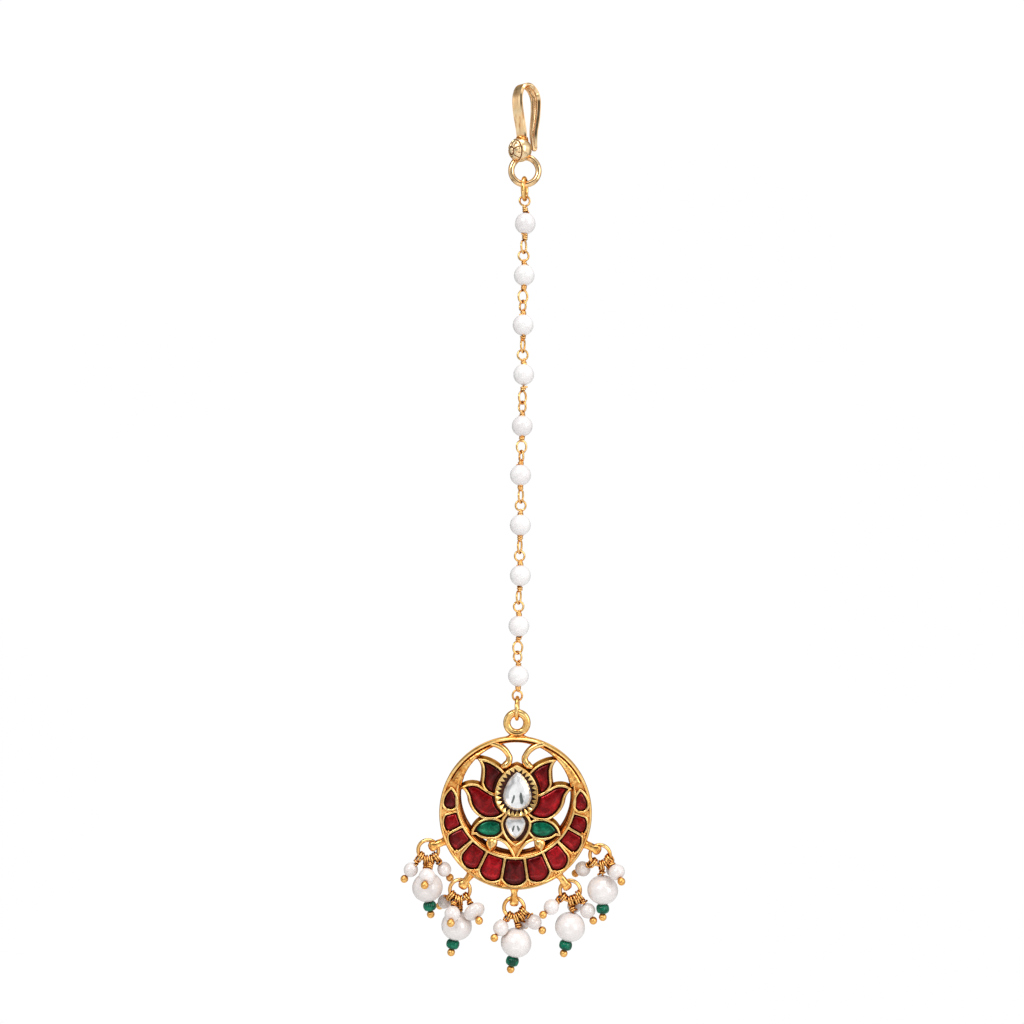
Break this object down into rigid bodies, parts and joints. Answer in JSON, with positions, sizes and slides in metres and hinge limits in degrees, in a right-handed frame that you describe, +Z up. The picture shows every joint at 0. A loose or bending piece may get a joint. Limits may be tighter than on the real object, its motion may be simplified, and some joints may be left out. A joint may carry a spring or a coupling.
{
  "type": "maang tikka",
  "caption": "Maang tikka hair jewel: a hair hook, a wire-wrapped pearl chain, and a round openwork lotus pendant set with red and green stones and edged with pearl drops.",
  "frame": {"origin": "highest point of the inside of the hook's bend, where the hair bears", "axes": "+X to the right as worn and seen from the front, +Y towards the forehead, +Z up along the chain"},
  "size_m": [0.038, 0.0101, 0.1513],
  "materials": {
    "antique_gold": "cast and wire-wrapped metal, antique gold plating darkened in the recesses",
    "pearl": "lustrous, slightly baroque",
    "ruby": "foiled, polished",
    "emerald": "foiled, polished",
    "kundan": "clear over silver foil, faceted",
    "green_glass": "translucent, ribbed"
  },
  "bodies": {
    "chain": {"hook": "antique_gold", "hook_ring": "antique_gold", "top_link": "antique_gold", "link_wire_01": "antique_gold", "link_wire_02": "antique_gold", "link_wire_03": "antique_gold", "link_wire_04": "antique_gold", "link_wire_05": "antique_gold", "link_wire_06": "antique_gold", "link_wire_07": "antique_gold", "link_wire_08": "antique_gold", "link_wire_09": "antique_gold", "link_wire_10": "antique_gold", "chain_pearl_01": "pearl", "chain_pearl_02": "pearl", "chain_pearl_03": "pearl", "chain_pearl_04": "pearl", "chain_pearl_05": "pearl", "chain_pearl_06": "pearl", "chain_pearl_07": "pearl", "chain_pearl_08": "pearl", "chain_pearl_09": "pearl", "chain_pearl_10": "pearl"},
    "bottom_link": {"bottom_link": "antique_gold"},
    "pendant": {"pendant_frame": "antique_gold", "crescent_rubies": "ruby", "petal_ruby_upper_left": "ruby", "petal_ruby_upper_right": "ruby", "petal_ruby_lower_left": "ruby", "petal_ruby_lower_right": "ruby", "leaf_emerald_left": "emerald", "leaf_emerald_right": "emerald", "kundan_drop": "kundan", "kundan_bud": "kundan", "jump_ring_1": "antique_gold", "drop_pins_1": "antique_gold", "drop_pearl_1": "pearl", "seed_pearls_1": "pearl", "green_bead_1": "green_glass", "jump_ring_2": "antique_gold", "drop_pins_2": "antique_gold", "drop_pearl_2": "pearl", "seed_pearls_2": "pearl", "green_bead_2": "green_glass", "jump_ring_3": "antique_gold", "drop_pins_3": "antique_gold", "drop_pearl_3": "pearl", "seed_pearls_3": "pearl", "green_bead_3": "green_glass", "jump_ring_4": "antique_gold", "drop_pins_4": "antique_gold", "drop_pearl_4": "pearl", "seed_pearls_4": "pearl", "green_bead_4": "green_glass", "jump_ring_5": "antique_gold", "drop_pins_5": "antique_gold", "drop_pearl_5": "pearl", "seed_pearls_5": "pearl", "green_bead_5": "green_glass"}
  },
  "joints": [
    {"name": "link_swing", "type": "hinge", "parent": "chain", "child": "bottom_link", "pos_m": [0, -0.0005, -0.10436], "axis": [1, 0, 0], "range_deg": [-65, 65]},
    {"name": "pendant_swing", "type": "hinge", "parent": "bottom_link", "child": "pendant", "pos_m": [0, -0.0005, -0.10741], "axis": [0, 1, 0], "range_deg": [-60, 60]}
  ]
}
